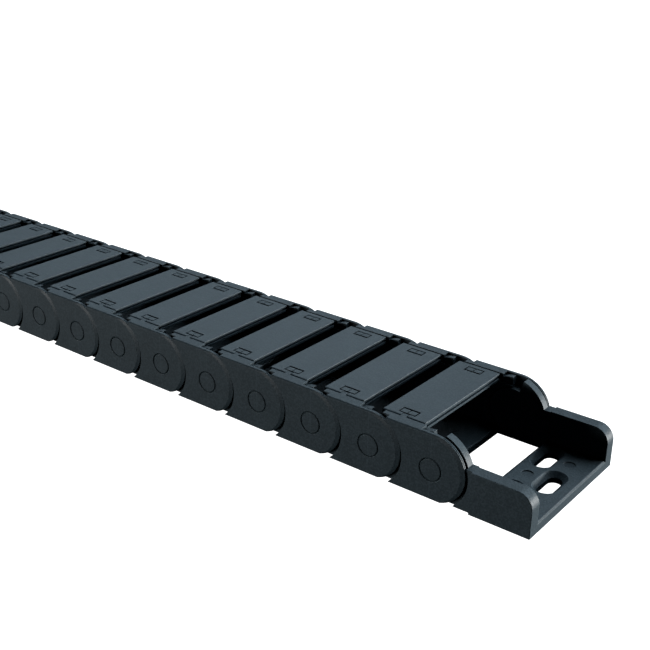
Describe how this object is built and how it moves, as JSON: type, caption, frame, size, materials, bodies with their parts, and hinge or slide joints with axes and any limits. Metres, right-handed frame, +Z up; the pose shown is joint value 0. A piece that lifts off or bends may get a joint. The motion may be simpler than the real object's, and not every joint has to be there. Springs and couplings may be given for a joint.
{
  "type": "cable drag chain",
  "caption": "Plastic cable drag chain lying straight, with hinged links, clip-on lids over the cable space and a screw-down bracket at each end.",
  "frame": {"origin": "on the floor, in the middle of the chain's length and width", "axes": "+X along the chain to the front bracket, +Z up from the crossbars to the lids, and the lids' hinges on the -Y side"},
  "size_m": [0.3564, 0.0488, 0.02],
  "materials": {
    "link": "satin moulded glass-filled nylon, dark grey",
    "lid": "satin moulded glass-filled nylon, dark grey",
    "bracket": "satin moulded glass-filled nylon, dark grey"
  },
  "bodies": {
    "front_bracket": {"front_bracket": "bracket"},
    "link_01": {"link_01_body": "link"},
    "link_02": {"link_02_body": "link"},
    "link_03": {"link_03_body": "link"},
    "link_04": {"link_04_body": "link"},
    "link_05": {"link_05_body": "link"},
    "link_06": {"link_06_body": "link"},
    "link_07": {"link_07_body": "link"},
    "link_08": {"link_08_body": "link"},
    "link_09": {"link_09_body": "link"},
    "link_10": {"link_10_body": "link"},
    "link_11": {"link_11_body": "link"},
    "link_12": {"link_12_body": "link"},
    "link_13": {"link_13_body": "link"},
    "link_14": {"link_14_body": "link"},
    "rear_bracket": {"rear_bracket": "bracket"},
    "link_01_lid": {"link_01_lid": "lid"},
    "link_02_lid": {"link_02_lid": "lid"},
    "link_03_lid": {"link_03_lid": "lid"},
    "link_04_lid": {"link_04_lid": "lid"},
    "link_05_lid": {"link_05_lid": "lid"},
    "link_06_lid": {"link_06_lid": "lid"},
    "link_07_lid": {"link_07_lid": "lid"},
    "link_08_lid": {"link_08_lid": "lid"},
    "link_09_lid": {"link_09_lid": "lid"},
    "link_10_lid": {"link_10_lid": "lid"},
    "link_11_lid": {"link_11_lid": "lid"},
    "link_12_lid": {"link_12_lid": "lid"},
    "link_13_lid": {"link_13_lid": "lid"},
    "link_14_lid": {"link_14_lid": "lid"}
  },
  "joints": [
    {"name": "link_01_pivot", "type": "hinge", "parent": "front_bracket", "child": "link_01", "pos_m": [0.147, 0, 0.009], "axis": [0, 1, 0], "range_deg": [0, 20]},
    {"name": "link_02_pivot", "type": "hinge", "parent": "link_01", "child": "link_02", "pos_m": [0.126, 0, 0.009], "axis": [0, 1, 0], "range_deg": [0, 20]},
    {"name": "link_03_pivot", "type": "hinge", "parent": "link_02", "child": "link_03", "pos_m": [0.105, 0, 0.009], "axis": [0, 1, 0], "range_deg": [0, 20]},
    {"name": "link_04_pivot", "type": "hinge", "parent": "link_03", "child": "link_04", "pos_m": [0.084, 0, 0.009], "axis": [0, 1, 0], "range_deg": [0, 20]},
    {"name": "link_05_pivot", "type": "hinge", "parent": "link_04", "child": "link_05", "pos_m": [0.063, 0, 0.009], "axis": [0, 1, 0], "range_deg": [0, 20]},
    {"name": "link_06_pivot", "type": "hinge", "parent": "link_05", "child": "link_06", "pos_m": [0.042, 0, 0.009], "axis": [0, 1, 0], "range_deg": [0, 20]},
    {"name": "link_07_pivot", "type": "hinge", "parent": "link_06", "child": "link_07", "pos_m": [0.021, 0, 0.009], "axis": [0, 1, 0], "range_deg": [0, 20]},
    {"name": "link_08_pivot", "type": "hinge", "parent": "link_07", "child": "link_08", "pos_m": [0, 0, 0.009], "axis": [0, 1, 0], "range_deg": [0, 20]},
    {"name": "link_09_pivot", "type": "hinge", "parent": "link_08", "child": "link_09", "pos_m": [-0.021, 0, 0.009], "axis": [0, 1, 0], "range_deg": [0, 20]},
    {"name": "link_10_pivot", "type": "hinge", "parent": "link_09", "child": "link_10", "pos_m": [-0.042, 0, 0.009], "axis": [0, 1, 0], "range_deg": [0, 20]},
    {"name": "link_11_pivot", "type": "hinge", "parent": "link_10", "child": "link_11", "pos_m": [-0.063, 0, 0.009], "axis": [0, 1, 0], "range_deg": [0, 20]},
    {"name": "link_12_pivot", "type": "hinge", "parent": "link_11", "child": "link_12", "pos_m": [-0.084, 0, 0.009], "axis": [0, 1, 0], "range_deg": [0, 20]},
    {"name": "link_13_pivot", "type": "hinge", "parent": "link_12", "child": "link_13", "pos_m": [-0.105, 0, 0.009], "axis": [0, 1, 0], "range_deg": [0, 20]},
    {"name": "link_14_pivot", "type": "hinge", "parent": "link_13", "child": "link_14", "pos_m": [-0.126, 0, 0.009], "axis": [0, 1, 0], "range_deg": [0, 20]},
    {"name": "rear_pivot", "type": "hinge", "parent": "link_14", "child": "rear_bracket", "pos_m": [-0.147, 0, 0.009], "axis": [0, 1, 0], "range_deg": [0, 20]},
    {"name": "link_01_lid_hinge", "type": "hinge", "parent": "link_01", "child": "link_01_lid", "pos_m": [0.13495, -0.0195, 0.0191], "axis": [-1, 0, 0], "range_deg": [-100, 0]},
    {"name": "link_02_lid_hinge", "type": "hinge", "parent": "link_02", "child": "link_02_lid", "pos_m": [0.11395, -0.0195, 0.0191], "axis": [-1, 0, 0], "range_deg": [-100, 0]},
    {"name": "link_03_lid_hinge", "type": "hinge", "parent": "link_03", "child": "link_03_lid", "pos_m": [0.09295, -0.0195, 0.0191], "axis": [-1, 0, 0], "range_deg": [-100, 0]},
    {"name": "link_04_lid_hinge", "type": "hinge", "parent": "link_04", "child": "link_04_lid", "pos_m": [0.07195, -0.0195, 0.0191], "axis": [-1, 0, 0], "range_deg": [-100, 0]},
    {"name": "link_05_lid_hinge", "type": "hinge", "parent": "link_05", "child": "link_05_lid", "pos_m": [0.05095, -0.0195, 0.0191], "axis": [-1, 0, 0], "range_deg": [-100, 0]},
    {"name": "link_06_lid_hinge", "type": "hinge", "parent": "link_06", "child": "link_06_lid", "pos_m": [0.02995, -0.0195, 0.0191], "axis": [-1, 0, 0], "range_deg": [-100, 0]},
    {"name": "link_07_lid_hinge", "type": "hinge", "parent": "link_07", "child": "link_07_lid", "pos_m": [0.00895, -0.0195, 0.0191], "axis": [-1, 0, 0], "range_deg": [-100, 0]},
    {"name": "link_08_lid_hinge", "type": "hinge", "parent": "link_08", "child": "link_08_lid", "pos_m": [-0.01205, -0.0195, 0.0191], "axis": [-1, 0, 0], "range_deg": [-100, 0]},
    {"name": "link_09_lid_hinge", "type": "hinge", "parent": "link_09", "child": "link_09_lid", "pos_m": [-0.03305, -0.0195, 0.0191], "axis": [-1, 0, 0], "range_deg": [-100, 0]},
    {"name": "link_10_lid_hinge", "type": "hinge", "parent": "link_10", "child": "link_10_lid", "pos_m": [-0.05405, -0.0195, 0.0191], "axis": [-1, 0, 0], "range_deg": [-100, 0]},
    {"name": "link_11_lid_hinge", "type": "hinge", "parent": "link_11", "child": "link_11_lid", "pos_m": [-0.07505, -0.0195, 0.0191], "axis": [-1, 0, 0], "range_deg": [-100, 0]},
    {"name": "link_12_lid_hinge", "type": "hinge", "parent": "link_12", "child": "link_12_lid", "pos_m": [-0.09605, -0.0195, 0.0191], "axis": [-1, 0, 0], "range_deg": [-100, 0]},
    {"name": "link_13_lid_hinge", "type": "hinge", "parent": "link_13", "child": "link_13_lid", "pos_m": [-0.11705, -0.0195, 0.0191], "axis": [-1, 0, 0], "range_deg": [-100, 0]},
    {"name": "link_14_lid_hinge", "type": "hinge", "parent": "link_14", "child": "link_14_lid", "pos_m": [-0.13805, -0.0195, 0.0191], "axis": [-1, 0, 0], "range_deg": [-100, 0]}
  ]
}
